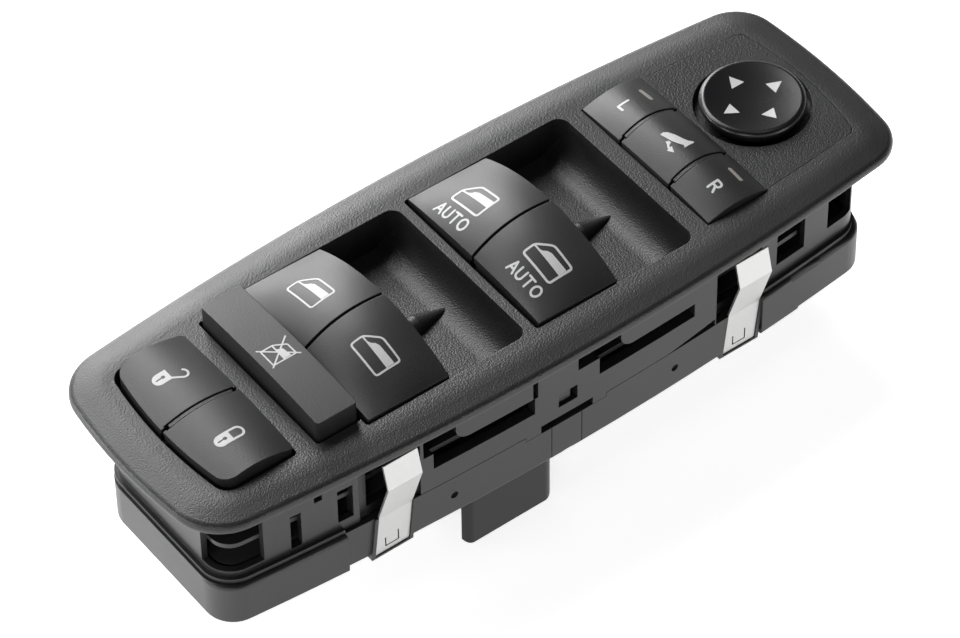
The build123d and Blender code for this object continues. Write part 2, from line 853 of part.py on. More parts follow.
def make_body():
    """Upper body: walls round the keys' works and a deck that guides their legs."""
    shape = body_shell(0, body_seat, body_top)
    lap = tray_wall + seam
    shape += prism(tray_plan(lap), body_skirt, body_seat)
    shape -= prism(body_plan(body_wall), body_seat - 0.01, deck_top - deck_thick)
    shape -= prism(body_plan(body_wall), deck_top, body_top + 1)
    shape -= prism(tray_plan(lap + body_wall), body_skirt - 1, body_seat)
    ledge = prism(
        body_plan(-ledge_out, right=body_right - ledge_out), body_seat, body_seat + ledge_height
    )
    ledge -= prism(body_plan(body_wall), -far, far)
    shape += ledge - block(tray_ends[0], tray_ends[1], -far, far, -far, far)
    for side in (-1, 1):
        shape -= window_cuts(side)
        shape += latch_nub(side)
    for x in clip_x:
        for side in (-1, 1):
            shape += clip_back(side, x, 0) & body_shell(0, body_seat, body_top)
            shape -= clip_recess(side, x, recess_depth, body_seat, body_top + 1, recess_widen)
            shape -= clip_recess(
                side, x, recess_depth + body_wall + stop_gap, clip_window[0], clip_window[1], 0
            )
            shape -= clip_recess(
                side, x, clip_channel + tray_wall + seam, body_skirt - 1, body_seat,
                rail_width + clip_lean + seam,
            )
    shape += parting_tab()
    shape -= parting_gaps()
    shape -= bezel_room()
    bay = offset(lock_plan(0), panel_skin, kind=Kind.INTERSECTION)
    shape += prism(bay, -bay_depth - shelf_thick, -bay_depth)
    for x, y, room_x, room_y in leg_places():
        half_x = leg_size / 2 + room_x
        half_y = leg_size / 2 + room_y
        shape -= block(
            x - half_x, x + half_x, y - half_y, y + half_y, deck_top - 2 * deck_thick, -bay_depth / 2
        )
    for y in (-bar_guide_y, bar_guide_y):
        shape -= Pos((bar_left + bar_right) / 2, y, deck_top) * Cylinder(
            bar_guide_radius + stop_gap, 4 * deck_thick
        )
    works = prism(body_plan(body_wall), deck_top - 2 * deck_thick, deck_top + deck_thick)
    shape -= works & block(pad_x - pad_bay, far, -far, far, -far, far)
    shape -= connector_room(body_skirt - 1, board_top - board_thick + seam)
    return shape


def connector_room(z0, z1):
    """Room that the connector needs on its way down through the body's skirt and the tray."""
    x0, x1 = connector_x
    y0, y1 = connector_y
    return block(x0 - stop_gap, x1 + stop_gap, y0 - stop_gap, y1 + stop_gap, z0, z1)


def bezel_room():
    """Room in the body's walls for what hangs from the face panel."""
    room = disc(cup_radius + cup_wall + seam, cup_floor - cup_wall - seam, far)
    bay = offset(lock_plan(0), panel_skin + seam, kind=Kind.INTERSECTION)
    room += prism(bay, -bay_depth, body_top + 1)
    room += prism(plate_plan(-panel_skin - seam), -seam, body_top + 1)
    for row in key_left:
        outer = well_half + max(tub_wall, panel_skin) + seam
        room += block(
            well_left[row] - panel_skin - seam, well_right[row] + tub_wall + seam, -outer, outer,
            panel_top - well_depth - tub_wall - seam, body_top + 1,
        )
    return room


def leg_places():
    """Place of each square leg and the room round it, along X and along Y."""
    places = []
    swing = (hinge_z - dome_tip_z) * sin(radians(key_angle)) + stop_gap
    for row in key_left:
        for side in (-1, 1):
            for reach in (-leg_reach, leg_reach):
                x = key_left[row] + hinge_in + reach
                places.append((x, side * leg_y, swing, stop_gap))
    x = (lock_left + lock_right) / 2
    for side in (-1, 1):
        places.append((x, side * lock_leg_y, stop_gap, stop_gap))
    x = (mirror_left + mirror_right) / 2
    outer = (mirror_half + mirror_split) / 2
    for y in (-outer, 0, outer):
        places.append((x, y, stop_gap, stop_gap))
    return places


def dome_places():
    """Places of the domes of the contact mat."""
    places = [(x, y) for x, y, room_x, room_y in leg_places()]
    x = (bar_left + bar_right) / 2
    places += [(x, -bar_guide_y), (x, bar_guide_y)]
    return places + pad_leg_places()


def tray_plan(inset):
    """Plan of the base tray: level with the body in the middle, proud of it at both ends."""
    return body_plan(inset, body_mid_half, tray_left, tray_right, tray_corner)


def tray_ends_block():
    """The tray's two end blocks, which stand proud of its middle and have a rounded rim."""
    plan = body_plan(0, body_mid_half + end_proud, tray_left, tray_right, tray_corner)
    shape = prism(plan, tray_bottom, tray_rim)
    shape = fillet(shape.edges().group_by(Axis.Z)[0], tray_edge)
    shape = fillet(shape.edges().group_by(Axis.Z)[-1], tray_bead)
    return shape - block(tray_ends[0], tray_ends[1], -far, far, -far, far)


def make_tray():
    """Base tray with its rim, clip channels, board posts and the connector's opening."""
    shape = prism(tray_plan(0), tray_bottom, tray_rim)
    shape = fillet(shape.edges().group_by(Axis.Z)[0], tray_edge)
    shape += tray_ends_block()
    hollow = prism(tray_plan(tray_wall), tray_bottom + tray_wall, tray_rim + 1)
    shape -= hollow - block(raised_x, far, -far, far, -far, raised_bottom + tray_wall)
    shape -= block(raised_x, far, -far, far, -far, raised_bottom)
    shape -= connector_room(tray_bottom - 1, tray_rim + 1)
    for x in clip_x:
        for side in (-1, 1):
            shape += channel_pad(side, x)
            y = bowed(body_mid_half, body_bow, x) - clip_channel
            channel = block(-far, far, side * y, side * far, clip_foot, tray_rim + 1)
            shape -= channel & clip_outline(x, clip_side_gap)
    shape -= block(
        tab_x[0] - seam, tab_x[1] + seam, -far, -wall_y(tab_x[0]) + tray_wall + seam,
        tab_bottom - seam, tray_rim + 1,
    )
    for x in dot_x:
        shape -= cross_bar(x, -wall_y(x), dot_z, dot_radius, 2 * dot_depth)
    for x in groove_x:
        shape -= block(
            x - groove_width / 2, x + groove_width / 2, -far, groove_depth - wall_y(x), -far, far
        )
    top = board_top - board_thick
    for x, y in posts:
        low = raised_bottom if x > raised_x else tray_bottom
        low += tray_wall / 2
        shape += Pos(x, y, (low + top) / 2) * Cylinder(post_radius, top - low)
    return shape


def channel_pad(side, x):
    """Thicker piece of the tray's wall behind a clip, with its side rails and foot ledge."""
    y = bowed(body_mid_half, body_bow, x)
    half = clip_width / 2 + rail_width
    pad = block(
        x - half, x + half + clip_lean, side * (y - clip_channel - tray_wall),
        side * (y + rail_proud), clip_foot, tray_rim,
    )
    shape = pad & clip_outline(x, rail_width)
    shape += block(
        x - half, x + half, side * (y - clip_channel - tray_wall), side * (y + rail_proud),
        clip_foot - foot_ledge, clip_foot,
    )
    return shape


def board_plan(inset):
    """Plan of the circuit board inside the body's skirt."""
    return body_plan(body_wall + stop_gap + inset)


def board_layer(inset, z0, z1):
    """Sheet with the board's outline, notched behind the clips."""
    shape = prism(board_plan(inset), z0, z1)
    for x in clip_x:
        for side in (-1, 1):
            shape -= clip_back(side, x, stop_gap + inset)
    return shape


def make_board():
    """Circuit board."""
    return board_layer(0, board_top - board_thick, board_top)


def make_mat():
    """Silicone contact mat with a dome under each leg."""
    shape = board_layer(mat_inset, board_top, board_top + mat_base)
    for x, y in dome_places():
        foot = Pos(x, y, board_top) * RegularPolygon(dome_radius, dome_sides)
        tip = Pos(x, y, dome_tip_z) * RegularPolygon(dome_tip, dome_sides)
        shape += loft([foot, tip])
    return shape


def make_connector():
    """Connector shroud that stands on the board's underside and leaves through the tray."""
    x0, x1 = connector_x
    y0, y1 = connector_y
    top = board_top - board_thick
    plan = Pos((x0 + x1) / 2, (y0 + y1) / 2) * RectangleRounded(x1 - x0, y1 - y0, connector_corner)
    shape = prism(plan, connector_bottom, top)
    inner = offset(plan, -connector_wall)
    shape -= prism(inner, connector_bottom - 1, connector_web[0])
    shape -= prism(inner, connector_web[1], top + 1)
    shape -= block(
        x0 - 1, x0 + connector_corner, y0 + connector_wall, y1 - connector_wall,
        connector_bottom - 1, connector_side_top,
    )
    front = Pos((x0 + x1) / 2, (top + connector_bottom) / 2) * Rectangle(x1 - x0, top - connector_bottom)
    low = front.vertices().sort_by(Axis.Y)[0:2]
    front = fillet(low, connector_foot_round)
    shape = shape & extrude(Plane.XZ * front, far, both=True)
    for x, y in pin_places():
        shape -= Pos(x, y, 0) * Box(pin_size, pin_size, far)
    return shape


def pin_places():
    """Places of the connector's contact pins."""
    x = (connector_x[0] + connector_x[1]) / 2 - (pins_in_row - 1) / 2 * pin_pitch
    y = (connector_y[0] + connector_y[1]) / 2 - (pin_rows - 1) / 2 * pin_row_step
    return [
        (x + i * pin_pitch, y + j * pin_row_step)
        for i in range(pins_in_row) for j in range(pin_rows)
    ]


def make_pins():
    """Contact pins of the connector."""
    top = board_top - board_thick
    return Compound(children=[
        block(x - pin_size / 2, x + pin_size / 2, y - pin_size / 2, y + pin_size / 2, pin_tip, top)
        for x, y in pin_places()
    ])


def make_chip():
    """Control chip on the board's underside."""
    top = board_top - board_thick
    return Pos(chip_x, 0, top - chip_thick / 2) * Box(chip_size, chip_size, chip_thick)


def make_clip(side, x):
    """Sheet spring clip: foot in the tray's channel, crest below the face panel's lip."""
    half = clip_sheet / 2
    y = bowed(body_mid_half, body_bow, x) - clip_channel + half
    line = Polyline(
        (y, clip_foot + half), (y, clip_knee), (y + clip_crest[0], clip_crest[1]),
        (y + clip_nose[0], clip_nose[1]),
    )
    strip = make_face(offset(line, half, side=Side.BOTH, kind=Kind.INTERSECTION))
    shape = Pos(x - clip_width / 2, 0, 0) * extrude(Plane.YZ * strip, clip_width + clip_lean)
    shape = shape & clip_outline(x, 0)
    slit = tab_slit / 2
    for reach, high in (tab_left, tab_right):
        shape -= block(x + reach - slit, x + reach + slit, 0, far, tab_low - slit, high)
    shape -= block(
        x + tab_left[0], x + tab_right[0], 0, far, tab_low - slit, tab_low + slit
    )
    return mirror(shape, Plane.XZ) if side < 0 else shape


def write(parts):
    """One file for each piece."""
    os.makedirs("parts", exist_ok=True)
    for name, shape in parts.items():
        export_step(shape, f"parts/{name}.step")


def main():
    """Make every piece and write it."""
    parts = {
        "bezel": make_bezel(),
        "mirror_plate": make_plate(),
        "upper_body": make_body(),
        "base_tray": make_tray(),
        "circuit_board": make_board(),
        "control_chip": make_chip(),
        "contact_mat": make_mat(),
        "connector_shroud": make_connector(),
        "connector_pins": make_pins(),
        "unlock_key": make_lock_key(1),
        "lock_key": make_lock_key(-1),
        "lockout_bar": make_bar(),
        "lockout_spring": make_bar_spring(),
        "mirror_left_key": make_mirror_key(mirror_split, mirror_half) - lens_slot(lens_y),
        "mirror_fold_key": make_mirror_key(-mirror_split, mirror_split),
        "mirror_right_key": make_mirror_key(-mirror_half, -mirror_split) - lens_slot(-lens_y),
        "left_indicator": lens_slot(lens_y) & mirror_crown(),
        "right_indicator": lens_slot(-lens_y) & mirror_crown(),
        "mirror_pad": make_pad(),
        "mirror_gimbal": make_gimbal(),
    }
    for row in key_left:
        parts[f"{row}_left_window_key"] = make_window_key(row, 1)
        parts[f"{row}_right_window_key"] = make_window_key(row, -1)
        parts[f"{row}_hinge_pin"] = make_hinge_pin(row)
    for x, end in zip(clip_x, ("left", "right")):
        for side, face in ((-1, "near"), (1, "far")):
            parts[f"{face}_{end}_clip"] = make_clip(side, x)
    write(parts)


main()
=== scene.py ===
import bpy
import numpy as np
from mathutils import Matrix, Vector
from math import cos, radians, sin


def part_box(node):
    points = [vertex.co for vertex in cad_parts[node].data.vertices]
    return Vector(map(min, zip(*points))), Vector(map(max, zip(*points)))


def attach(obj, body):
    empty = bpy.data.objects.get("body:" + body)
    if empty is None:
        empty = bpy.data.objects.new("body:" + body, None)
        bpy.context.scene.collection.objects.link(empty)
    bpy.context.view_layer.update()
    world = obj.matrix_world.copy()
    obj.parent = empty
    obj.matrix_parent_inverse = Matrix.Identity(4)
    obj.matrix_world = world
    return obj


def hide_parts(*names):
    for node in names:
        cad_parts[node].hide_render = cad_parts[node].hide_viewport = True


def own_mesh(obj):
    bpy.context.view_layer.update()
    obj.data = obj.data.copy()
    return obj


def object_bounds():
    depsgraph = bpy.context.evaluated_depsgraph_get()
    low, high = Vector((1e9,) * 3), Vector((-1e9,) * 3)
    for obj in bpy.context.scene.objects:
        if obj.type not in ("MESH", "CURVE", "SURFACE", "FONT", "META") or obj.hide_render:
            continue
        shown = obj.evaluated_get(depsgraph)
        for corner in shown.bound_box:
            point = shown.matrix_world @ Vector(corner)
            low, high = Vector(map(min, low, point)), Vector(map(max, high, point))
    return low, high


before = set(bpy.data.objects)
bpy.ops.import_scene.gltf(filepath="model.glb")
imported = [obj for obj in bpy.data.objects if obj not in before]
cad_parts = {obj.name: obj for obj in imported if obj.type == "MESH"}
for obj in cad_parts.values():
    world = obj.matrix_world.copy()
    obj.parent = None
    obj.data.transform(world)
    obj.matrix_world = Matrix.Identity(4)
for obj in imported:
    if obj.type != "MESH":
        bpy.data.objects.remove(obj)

# Driver's door switch panel on a white floor. Finishes, lamps and camera are set in metres.
# Signs, cup floor and spring are set in millimetres, and mm turns those into metres.
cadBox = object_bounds()
mm = 0.001
print("frame loaded:", len(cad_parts), "nodes")


# materials

def newMaterial(name):
    # a node material with its Principled shader
    material = bpy.data.materials.new(name)
    material.use_nodes = True
    tree = material.node_tree
    return material, tree, tree.nodes["Principled BSDF"]


def noiseAt(tree, size, detail, stretch=(1, 1, 1)):
    # noise whose lumps are about size metres across, drawn out along an axis by stretch
    noise = tree.nodes.new("ShaderNodeTexNoise")
    noise.inputs["Scale"].default_value = 1.0
    noise.inputs["Detail"].default_value = detail
    mapping = tree.nodes.new("ShaderNodeMapping")
    mapping.inputs["Scale"].default_value = [1 / (size * pull) for pull in stretch]
    place = tree.nodes.new("ShaderNodeTexCoord").outputs["Object"]
    tree.links.new(place, mapping.inputs["Vector"])
    tree.links.new(mapping.outputs["Vector"], noise.inputs["Vector"])
    return noise.outputs["Fac"]


def mapTo(tree, source, low, high, fromLow=0.3, fromHigh=0.7):
    # the middle of a noise's range is where most of it lies, so that is what is spread by default
    node = tree.nodes.new("ShaderNodeMapRange")
    node.inputs["From Min"].default_value = fromLow
    node.inputs["From Max"].default_value = fromHigh
    node.inputs["To Min"].default_value = low
    node.inputs["To Max"].default_value = high
    tree.links.new(source, node.inputs["Value"])
    return node.outputs["Result"]


def bumpFrom(tree, height, strength, depth, under=None):
    bump = tree.nodes.new("ShaderNodeBump")
    bump.inputs["Strength"].default_value = strength
    bump.inputs["Distance"].default_value = depth
    tree.links.new(height, bump.inputs["Height"])
    if under is not None:
        tree.links.new(under, bump.inputs["Normal"])
    return bump.outputs["Normal"]


def colourBetween(tree, share, colour, shade):
    # the colour, darker or lighter by the two factors in shade as share goes from 0 to 1
    dark, light = np.array(colour) * shade[0], np.array(colour) * shade[1]
    mix = tree.nodes.new("ShaderNodeMix")
    mix.data_type = "RGBA"
    mix.inputs["A"].default_value = (*dark, 1)
    mix.inputs["B"].default_value = (*light, 1)
    tree.links.new(share, mix.inputs["Factor"])
    return mix.outputs["Result"]


def mouldedPlastic(name, look):
    # moulded plastic: fine grain in the bump, slow drift in colour and in roughness
    material, tree, shader = newMaterial(name)
    drift = noiseAt(tree, look["driftSize"], look["driftDetail"])
    grain = noiseAt(tree, look["grainSize"], look["grainDetail"])
    shade = (1 - look["drift"], 1 + look["drift"])
    colour = colourBetween(tree, mapTo(tree, drift, 0, 1), look["colour"], shade)
    tree.links.new(colour, shader.inputs["Base Color"])
    swing = look["roughSwing"]
    rough = mapTo(tree, drift, look["rough"] - swing, look["rough"] + swing)
    tree.links.new(rough, shader.inputs["Roughness"])
    edge = tree.nodes.new("ShaderNodeBevel")
    edge.samples = look["edgeSamples"]
    edge.inputs["Radius"].default_value = look["edgeRound"]
    normal = bumpFrom(tree, grain, look["grain"], look["grainDepth"], edge.outputs["Normal"])
    tree.links.new(normal, shader.inputs["Normal"])
    shader.inputs["IOR"].default_value = look["ior"]
    return material


def sheetMetal(name, look):
    # bright metal: rolling marks drawn along one axis, in the roughness and a shallow bump
    material, tree, shader = newMaterial(name)
    marks = noiseAt(tree, look["markSize"], look["markDetail"], look["pull"])
    shader.inputs["Metallic"].default_value = 1.0
    colour = colourBetween(tree, mapTo(tree, marks, 0, 1), look["colour"], look["shade"])
    tree.links.new(colour, shader.inputs["Base Color"])
    smoother, rougher = look["roughSwing"]
    rough = mapTo(tree, marks, look["rough"] - smoother, look["rough"] + rougher)
    tree.links.new(rough, shader.inputs["Roughness"])
    normal = bumpFrom(tree, marks, look["marks"], look["markDepth"])
    tree.links.new(normal, shader.inputs["Normal"])
    return material


plasticBase = {
    "driftSize": 0.03, "driftDetail": 3.0, "drift": 0.04, "roughSwing": 0.03,
    "grainDetail": 0.5, "grainDepth": 0.03 * mm, "edgeRound": 0.25 * mm, "edgeSamples": 4, "ior": 1.5,
}
plasticLooks = {
    "panelPlastic": {
        "colour": (0.026, 0.026, 0.027), "rough": 0.4,
        "grainSize": 0.42 * mm, "grain": 1.0, "grainDepth": 0.09 * mm,
    },
    "platePlastic": {
        "colour": (0.018, 0.018, 0.019), "rough": 0.38,
        "grainSize": 0.42 * mm, "grain": 1.0, "grainDepth": 0.09 * mm,
    },
    "keyPlastic": {
        "colour": (0.02, 0.02, 0.021), "rough": 0.42,
        "grainSize": 0.36 * mm, "grain": 1.0, "grainDepth": 0.035 * mm,
    },
    "padPlastic": {
        "colour": (0.011, 0.011, 0.012), "rough": 0.26, "grainSize": 0.3 * mm, "grain": 0.15,
    },
    "bodyPlastic": {
        "colour": (0.024, 0.024, 0.025), "rough": 0.4, "grainSize": 0.4 * mm, "grain": 1.0,
    },
    "connectorPlastic": {
        "colour": (0.013, 0.013, 0.014), "rough": 0.4, "grainSize": 0.3 * mm, "grain": 0.15,
        # painted shade: the low ior makes the connector mirror less of the glowing floor, standing in for
        # the shadow it lies in under the body
        "ior": 1.36,
    },
    "gimbalPlastic": {
        "colour": (0.03, 0.03, 0.031), "rough": 0.45, "grainSize": 0.3 * mm, "grain": 0.1,
    },
    "lensPlastic": {
        "colour": (0.3, 0.28, 0.26), "rough": 0.25, "grainSize": 0.2 * mm, "grain": 0.05,
    },
    "boardLaminate": {
        "colour": (0.012, 0.03, 0.016), "rough": 0.35, "grainSize": 0.6 * mm, "grain": 0.3,
    },
    "chipPlastic": {
        "colour": (0.02, 0.02, 0.021), "rough": 0.55, "grainSize": 0.2 * mm, "grain": 0.4,
    },
    "siliconeRubber": {
        "colour": (0.03, 0.03, 0.03), "rough": 0.6, "grainSize": 0.4 * mm, "grain": 0.2,
    },
}
metalBase = {"markDetail": 3.0, "markDepth": 0.02 * mm, "shade": (0.96, 1.02), "roughSwing": (0.04, 0.05)}
metalLooks = {
    "clipSteel": {
        "colour": (0.58, 0.58, 0.575), "rough": 0.5,
        "markSize": 0.5 * mm, "pull": (1, 8, 8), "marks": 0.2,
    },
    "wireSteel": {
        "colour": (0.6, 0.6, 0.6), "rough": 0.3,
        "markSize": 0.3 * mm, "pull": (1, 1, 6), "marks": 0.2,
    },
    "shaftSteel": {
        "colour": (0.62, 0.62, 0.62), "rough": 0.25,
        "markSize": 0.2 * mm, "pull": (1, 20, 1), "marks": 0.2,
    },
    "pinMetal": {
        "colour": (0.72, 0.7, 0.64), "rough": 0.3,
        "markSize": 0.3 * mm, "pull": (1, 1, 8), "marks": 0.1,
    },
}
finishes = {name: mouldedPlastic(name, {**plasticBase, **look}) for name, look in plasticLooks.items()}
finishes.update({name: sheetMetal(name, {**metalBase, **look}) for name, look in metalLooks.items()})

# every node that isn't named here is a key
nodeFinish = {
    "bezel": "panelPlastic", "mirror_plate": "platePlastic",
    "upper_body": "bodyPlastic", "base_tray": "bodyPlastic",
    "circuit_board": "boardLaminate", "control_chip": "chipPlastic",
    "contact_mat": "siliconeRubber", "connector_shroud": "connectorPlastic",
    "connector_pins": "pinMetal", "lockout_spring": "wireSteel",
    "left_indicator": "lensPlastic", "right_indicator": "lensPlastic",
    "mirror_pad": "padPlastic", "mirror_gimbal": "gimbalPlastic",
    "rear_hinge_pin": "shaftSteel", "front_hinge_pin": "shaftSteel",
    "near_left_clip": "clipSteel", "far_left_clip": "clipSteel",
    "near_right_clip": "clipSteel", "far_right_clip": "clipSteel",
}
for nodeName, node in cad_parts.items():
    finish = finishes[nodeFinish.get(nodeName, "keyPlastic")]
    for place in node.material_slots:
        place.material = finish
print("finishes on the nodes")


# signs: each is printed ink, the inside of a signed distance to its strokes and fills

# lift is the gap to the key below, nudge the share of the grid that a slope is measured over, and
# flattest the least square of a slope that a move is divided by
ink = {
    "colour": (0.62, 0.62, 0.62), "shade": (0.93, 1.05), "rough": 0.45, "speckle": 0.3, "speckleDetail": 2.0,
    "grid": 0.11, "margin": 0.6, "passes": 3, "nudge": 0.05, "flattest": 0.25,
    "thick": 0.03, "lift": 0.02,
}


def inkMaterial():
    material, tree, shader = newMaterial("signInk")
    speckle = mapTo(tree, noiseAt(tree, ink["speckle"] * mm, ink["speckleDetail"]), 0, 1)
    colour = colourBetween(tree, speckle, ink["colour"], ink["shade"])
    tree.links.new(colour, shader.inputs["Base Color"])
    shader.inputs["Roughness"].default_value = ink["rough"]
    return material


signInk = inkMaterial()
tiny = 1e-12  # keeps a divisor above zero


def strokeDistance(points, line, width):
    # distance from each point to the nearest of the line's segments, less half the width
    line = np.asarray(line, float)
    start, step = line[:-1], np.diff(line, axis=0)
    gap = points[:, None, :] - start[None]
    along = (gap * step).sum(2) / np.maximum((step**2).sum(1), tiny)
    foot = gap - np.clip(along, 0, 1)[..., None] * step
    return np.sqrt((foot**2).sum(2)).min(1) - width / 2


def fillDistance(points, corners):
    # signed distance to a closed outline: distance to its edges, negative inside, which is where a
    # ray to the right crosses the outline an odd number of times
    ring = closed(np.asarray(corners, float))
    far = strokeDistance(points, ring, 0)
    a, b = ring[:-1], ring[1:]
    x, y = points[:, :1], points[:, 1:]
    spans = (a[:, 1] > y) != (b[:, 1] > y)
    rise = np.where(b[:, 1] == a[:, 1], tiny, b[:, 1] - a[:, 1])
    cross = a[:, 0] + (y - a[:, 1]) * (b[:, 0] - a[:, 0]) / rise
    inside = (spans & (x < cross)).sum(1) % 2 == 1
    return np.where(inside, -far, far)


def signDistance(points, shapes):
    # nearest of the strokes and fills, with the cuts taken out of them
    printed, holes = [], []
    for kind, line, *width in shapes:
        if kind == "stroke":
            printed.append(strokeDistance(points, line, width[0]))
        elif kind == "fill":
            printed.append(fillDistance(points, line))
        else:
            holes.append(strokeDistance(points, line, width[0]))
    near = np.min(printed, 0)
    return np.maximum(near, -np.min(holes, 0)) if holes else near


def arc(centre, radius, start, end, count=24):
    # points round a circle, from one angle to another in degrees
    turn = np.radians(np.linspace(start, end, count))
    return np.c_[centre[0] + radius * np.cos(turn), centre[1] + radius * np.sin(turn)]


def rounded(corners, radius, count=6):
    # closed outline whose corners are arcs, as quadratic curves from edge to edge
    corners = np.asarray(corners, float)
    before, after = np.roll(corners, 1, 0), np.roll(corners, -1, 0)
    inward = (before - corners) / np.linalg.norm(before - corners, axis=1)[:, None]
    onward = (after - corners) / np.linalg.norm(after - corners, axis=1)[:, None]
    t = np.linspace(0, 1, count)[None, :, None]
    first = (corners + inward * radius)[:, None]
    last = (corners + onward * radius)[:, None]
    return ((1 - t) ** 2 * first + 2 * t * (1 - t) * corners[:, None] + t**2 * last).reshape(-1, 2)


def closed(outline):
    return np.vstack([outline, outline[:1]])


def newPiece(name, verts, faces, finish=None):
    # mesh object at the origin, with its place in its vertices
    mesh = bpy.data.meshes.new(name)
    mesh.from_pydata(verts.reshape(-1, 3).tolist(), [], faces)
    mesh.update()
    if finish is not None:
        mesh.materials.append(finish)
    piece = bpy.data.objects.new(name, mesh)
    bpy.context.collection.objects.link(piece)
    return piece


def signFlat(shapes):
    # A square grid covers the drawing, and cells whose middle lies outside it are left out. The
    # vertices with fewer than four cells are the rim, and they move along the distance's slope
    # onto the true outline, in a few passes.
    spacing, margin = ink["grid"], ink["margin"]
    reach = np.vstack([np.asarray(shape[1], float) for shape in shapes if shape[0] != "cut"])
    low, high = reach.min(0) - margin, reach.max(0) + margin
    across, up = (np.arange(low[axis], high[axis], spacing) for axis in (0, 1))
    grid = np.stack(np.meshgrid(across, up, indexing="ij"), 2)
    middles = (grid[:-1, :-1] + grid[1:, 1:]) / 2
    keep = signDistance(middles.reshape(-1, 2), shapes).reshape(middles.shape[:2]) < 0
    number = np.arange(grid.shape[0] * grid.shape[1]).reshape(grid.shape[:2])
    quads = np.stack([number[:-1, :-1], number[1:, :-1], number[1:, 1:], number[:-1, 1:]], 2)[keep]
    used, flat = np.unique(quads, return_inverse=True)
    quads = flat.reshape(-1, 4)
    points = grid.reshape(-1, 2)[used]
    rim = np.bincount(quads.ravel(), minlength=len(used)) < 4
    nudge = spacing * ink["nudge"]
    for _ in range(ink["passes"]):
        here = signDistance(points[rim], shapes)
        slope = np.stack([
            signDistance(points[rim] + (nudge, 0), shapes) - here,
            signDistance(points[rim] + (0, nudge), shapes) - here,
        ], 1) / nudge
        steep = np.maximum((slope**2).sum(1), ink["flattest"])
        points[rim] -= np.clip(here / steep, -spacing, spacing)[:, None] * slope
    return points, quads


def signSurface(name, sign, shapes, node, body):
    # A drawing's right is -Y and its top is +X. It is laid straight down onto the crown of its
    # node by Shrinkwrap, given its thickness and made a plain mesh.
    points, quads = signFlat(shapes)
    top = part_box(node)[1][2]
    verts = np.c_[
        (sign["x"] + points[:, 1]) * mm, (sign["y"] - points[:, 0]) * mm, np.full(len(points), top + mm),
    ]
    piece = newPiece(name, verts, quads.tolist())
    wrap = piece.modifiers.new("onto", "SHRINKWRAP")
    wrap.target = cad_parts[node]
    wrap.wrap_method = "PROJECT"
    wrap.use_project_z = True
    wrap.use_negative_direction = True
    wrap.use_positive_direction = False
    wrap.wrap_mode = "ABOVE_SURFACE"
    wrap.offset = ink["lift"] * mm
    solid = piece.modifiers.new("film", "SOLIDIFY")
    solid.thickness = ink["thick"] * mm
    solid.offset = 1.0
    laid = bpy.data.meshes.new_from_object(piece.evaluated_get(bpy.context.evaluated_depsgraph_get()))
    piece.modifiers.clear()
    piece.data = laid
    laid.name = name
    laid.materials.clear()
    laid.materials.append(signInk)
    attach(piece, body)


windowSign = {
    "outline": [(-5.45, -3.7), (-5.45, 0.1), (-2.1, 3.85), (5.35, 3.85), (5.35, -3.7)],
    "corner": 0.9, "belt": [(-5.4, -0.05), (5.3, -0.05)], "beltShare": 0.8,
    "pane": [(-4.4, -0.2), (-2.6, 0.55), (-1.9, 1.45), (-0.8, 1.95), (5.0, 2.2), (5.0, -0.2)],
}
# auto is the middle of the word, rightward and up from the middle of the sign
windowPlaces = {
    "front_right_window_key": {"x": 7.6, "y": -15.0, "line": 0.64, "auto": (0.3, -7.6)},
    "front_left_window_key": {"x": 6.1, "y": 13.4, "line": 0.6, "auto": (-0.5, -7.3)},
    "rear_right_window_key": {"x": -46.0, "y": -13.9, "line": 0.55},
    "rear_left_window_key": {"x": -46.4, "y": 13.1, "line": 0.5},
}
autoWord = {"height": 3.0, "line": 0.6, "advance": 3.05}


def windowShapes(line):
    # door outline, belt line and the lowered pane
    outline = closed(rounded(windowSign["outline"], windowSign["corner"]))
    return [
        ("stroke", outline, line), ("stroke", windowSign["belt"], line * windowSign["beltShare"]),
        ("fill", windowSign["pane"]),
    ]


# the letters are drawn to this size, and a style scales them
capital = {"height": 3, "width": 2.2}
letters = {
    "A": [[(0, 0), (1.15, 3), (2.3, 0)], [(0.42, 1.0), (1.88, 1.0)]],
    "U": [np.vstack([[(0.1, 3)], arc((1.1, 1.05), 1.0, 180, 360), [(2.1, 3)]])],
    "T": [[(0, 3), (2.2, 3)], [(1.1, 3), (1.1, 0)]],
    "O": [closed(arc((1.3, 1.5), 1.0, 0, 360, 40) * (1.2, 1.5) + (-0.26, -0.75))],
    "L": [[(0, 3), (0, 0), (1.7, 0)]],
    "R": [np.vstack([[(0, 0), (0, 3), (1.0, 3)], arc((1.05, 2.25), 0.75, 90, -90), [(0, 1.5)]]),
          [(0.95, 1.5), (1.8, 0)]],
}


def wordShapes(word, style, middle=(0, 0)):
    # capitals scaled to the style's height and set one after another about a middle
    scale = style["height"] / capital["height"]
    advance = style.get("advance", 0)
    width = advance * (len(word) - 1) + capital["width"] * scale
    shapes = []
    for i, letter in enumerate(word):
        shift = np.array([middle[0] - width / 2 + i * advance, middle[1] - style["height"] / 2])
        for part in letters[letter]:
            shapes.append(("stroke", np.asarray(part, float) * scale + shift, style["line"]))
    return shapes


for key, place in windowPlaces.items():
    shapes = windowShapes(place["line"])
    if "auto" in place:
        shapes += wordShapes("AUTO", autoWord, place["auto"])
    signSurface(key + ".sign", place, shapes, key, key)
print("window signs laid")

# reach is the top of the closed shackle, and the open one is a stem that ends in a turned bow
padlock = {
    "half": 1.85, "bottom": -4.35, "top": 0.4, "line": 0.65, "reach": 4.3,
    "hole": [(0, -1.35), (0, -1.3)], "holeWidth": 1.05, "slit": [(0, -1.4), (0, -3.3)], "slitWidth": 0.45,
    "openStem": [(1.6, 0.4), (1.95, 0.9), (2.6, 2.0)], "openCentre": (1.9, 3.4), "openRadius": 1.35,
    "openTurn": (-30, 150), "openLine": 0.6,
    "locked": {"x": -90.1, "y": -13.0}, "open": {"x": -90.6, "y": 13.1},
}


